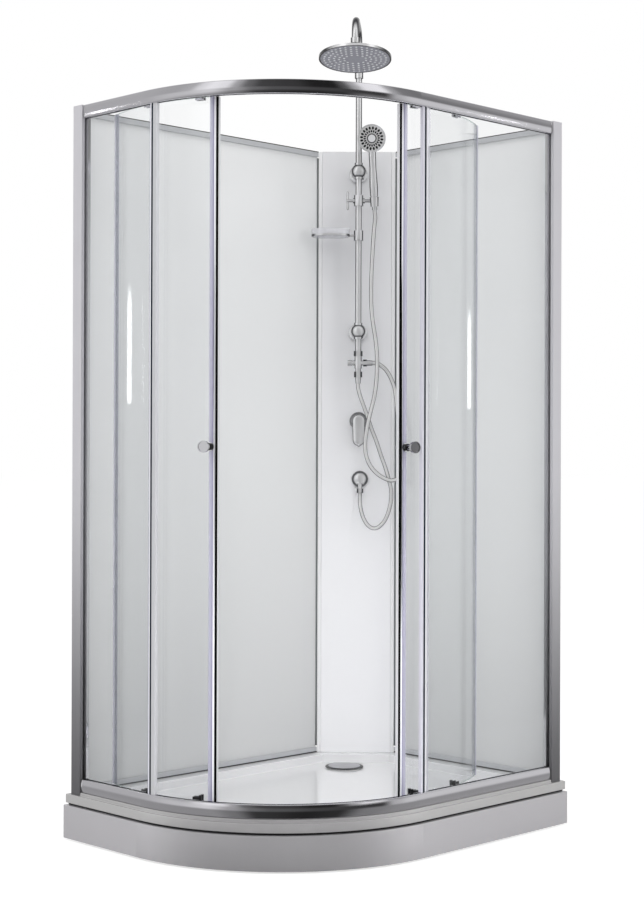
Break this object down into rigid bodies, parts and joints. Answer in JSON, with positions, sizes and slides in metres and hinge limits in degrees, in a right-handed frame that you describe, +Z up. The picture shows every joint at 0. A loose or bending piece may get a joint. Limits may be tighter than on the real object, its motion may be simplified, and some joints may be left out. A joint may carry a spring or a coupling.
{
  "type": "shower cabin",
  "caption": "Quadrant shower cabin: curved glass sliding doors, low tray, two back walls and a corner panel with rain shower, handset, mixer and soap dish.",
  "frame": {"origin": "centre of the tray's footprint rectangle, on the floor", "axes": "+X along the long back wall towards the shower column, +Y towards the long back wall, +Z up"},
  "size_m": [1.19, 0.88, 2.456],
  "materials": {
    "acrylic": "glossy white acrylic",
    "apron": "glossy pale grey panel",
    "base_steel": "galvanised square tube",
    "feet_steel": "zinc plated",
    "trap": "moulded plastic",
    "satin_aluminium": "satin anodised",
    "rail": "bright satin",
    "bright_trim": "polished",
    "glass": "clear toughened glass",
    "seal": "clear flexible plastic",
    "magnet_seal": "clear plastic with a black magnet strip",
    "wall_sheet": "glossy white sheet",
    "corner_panel": "glossy white panel",
    "chrome": "polished chrome",
    "screw": "dark steel",
    "black_rubber": "matt",
    "black_plastic": "matt",
    "wheel": "nylon",
    "nozzle_face": "satin grey",
    "dish": "clear plastic",
    "brass": "cast",
    "hose": "metallic hose"
  },
  "bodies": {
    "cabin": {"tray": "acrylic", "apron_panel": "apron", "support_frame": "base_steel", "levelling_feet": "feet_steel", "drain_trap": "trap", "left_wall_profile": "satin_aluminium", "right_wall_profile": "satin_aluminium", "top_rail": "rail", "bottom_rail": "rail", "frame_trim": "bright_trim", "left_fixed_glass": "glass", "right_fixed_glass": "glass", "fixed_glass_seals": "seal", "long_wall_sheet": "wall_sheet", "short_wall_sheet": "wall_sheet", "wall_bars": "satin_aluminium", "corner_panel": "corner_panel", "corner_strips": "corner_panel", "riser_pipe": "chrome", "overhead_arm": "chrome", "riser_brackets": "chrome", "bracket_screws": "screw", "diverter": "chrome", "mixer_rosette": "chrome", "mixer_valve": "brass", "wall_outlet": "chrome", "handset_hose": "hose", "supply_hose": "hose"},
    "right_door": {"right_door_glass": "glass", "right_magnet_seal": "magnet_seal", "right_trailing_seal": "seal", "right_handle": "chrome", "right_handle_rings": "black_rubber", "right_roller_housings": "chrome", "right_guides": "black_plastic"},
    "right_wheel_front": {"right_wheel_front": "wheel"},
    "right_wheel_rear": {"right_wheel_rear": "wheel"},
    "left_door": {"left_door_glass": "glass", "left_magnet_seal": "magnet_seal", "left_trailing_seal": "seal", "left_handle": "chrome", "left_handle_rings": "black_rubber", "left_roller_housings": "chrome", "left_guides": "black_plastic"},
    "left_wheel_front": {"left_wheel_front": "wheel"},
    "left_wheel_rear": {"left_wheel_rear": "wheel"},
    "slider": {"slider": "chrome"},
    "slider_knob": {"slider_knob": "chrome"},
    "handset_holder": {"handset_holder": "chrome"},
    "handset": {"handset": "chrome", "handset_face": "nozzle_face"},
    "arm_joint": {"arm_joint": "chrome"},
    "overhead_shower": {"overhead_shower": "chrome", "overhead_face": "nozzle_face"},
    "soap_dish": {"soap_dish_ring": "chrome", "soap_dish": "dish"},
    "diverter_knob": {"diverter_knob": "chrome"},
    "mixer_cartridge": {"mixer_cartridge": "chrome"},
    "mixer_lever": {"mixer_lever": "chrome"},
    "drain_cover": {"drain_cover": "chrome"}
  },
  "joints": [
    {"name": "right_door_travel", "type": "hinge", "parent": "cabin", "child": "right_door", "pos_m": [0.036, 0.35, 1.1], "axis": [0, 0, 1], "range_deg": [-26.8, 0]},
    {"name": "left_door_travel", "type": "hinge", "parent": "cabin", "child": "left_door", "pos_m": [0.195, 0.191, 1.1], "axis": [0, 0, 1], "range_deg": [-9, 13.3]},
    {"name": "right_wheel_front_spin", "type": "hinge", "parent": "right_door", "child": "right_wheel_front", "pos_m": [-0.02791, -0.39528, 2.0696], "axis": [-0.1616, -0.9869, 0], "continuous": true},
    {"name": "right_wheel_rear_spin", "type": "hinge", "parent": "right_door", "child": "right_wheel_rear", "pos_m": [0.15209, -0.39212, 2.0696], "axis": [0.1962, -0.9806, 0], "continuous": true},
    {"name": "left_wheel_front_spin", "type": "hinge", "parent": "left_door", "child": "left_wheel_front", "pos_m": [-0.51477, -0.04513, 2.0696], "axis": [-0.9219, -0.3875, 0], "continuous": true},
    {"name": "left_wheel_rear_spin", "type": "hinge", "parent": "left_door", "child": "left_wheel_rear", "pos_m": [-0.55371, 0.13064, 2.0696], "axis": [-0.9993, -0.0381, 0], "continuous": true},
    {"name": "slider_slide", "type": "slide", "parent": "cabin", "child": "slider", "axis": [0, 0, 1], "range_m": [-0.04, 0.04], "deforming": ["handset_hose"]},
    {"name": "slider_knob_turn", "type": "hinge", "parent": "slider", "child": "slider_knob", "pos_m": [0.44033, 0.27967, 1.91], "axis": [0.7071, -0.7071, 0], "range_deg": [-180, 180]},
    {"name": "holder_tilt", "type": "hinge", "parent": "slider", "child": "handset_holder", "pos_m": [0.44033, 0.27967, 1.91], "axis": [0.7071, -0.7071, 0], "range_deg": [-7, 25], "deforming": ["handset_hose"]},
    {"name": "handset_lift", "type": "slide", "parent": "handset_holder", "child": "handset", "axis": [-0.1832, -0.1108, 0.9768], "range_m": [0, 0.06], "deforming": ["handset_hose"]},
    {"name": "overhead_turn", "type": "hinge", "parent": "cabin", "child": "arm_joint", "pos_m": [0.26675, 0.12878, 2.362], "axis": [0, 0, 1], "range_deg": [-180, 180]},
    {"name": "overhead_tilt", "type": "hinge", "parent": "arm_joint", "child": "overhead_shower", "pos_m": [0.26675, 0.12878, 2.351], "axis": [0.6561, -0.7547, 0], "range_deg": [-6, 24]},
    {"name": "soap_dish_slide", "type": "slide", "parent": "cabin", "child": "soap_dish", "axis": [0, 0, 1], "range_m": [-0.2, 0.02]},
    {"name": "diverter_turn", "type": "hinge", "parent": "cabin", "child": "diverter_knob", "pos_m": [0.44033, 0.27967, 1.39], "axis": [0.7071, -0.7071, 0], "range_deg": [-90, 90]},
    {"name": "mixer_turn", "type": "hinge", "parent": "cabin", "child": "mixer_cartridge", "pos_m": [0.49195, 0.32705, 1.205], "axis": [0.7071, 0.7071, 0], "range_deg": [-45, 45]},
    {"name": "mixer_lift", "type": "hinge", "parent": "mixer_cartridge", "child": "mixer_lever", "pos_m": [0.47498, 0.31008, 1.219], "axis": [-0.7071, 0.7071, 0], "range_deg": [0, 20]},
    {"name": "drain_cover_lift", "type": "slide", "parent": "cabin", "child": "drain_cover", "axis": [0, 0, 1], "range_m": [0, 0.03]}
  ]
}
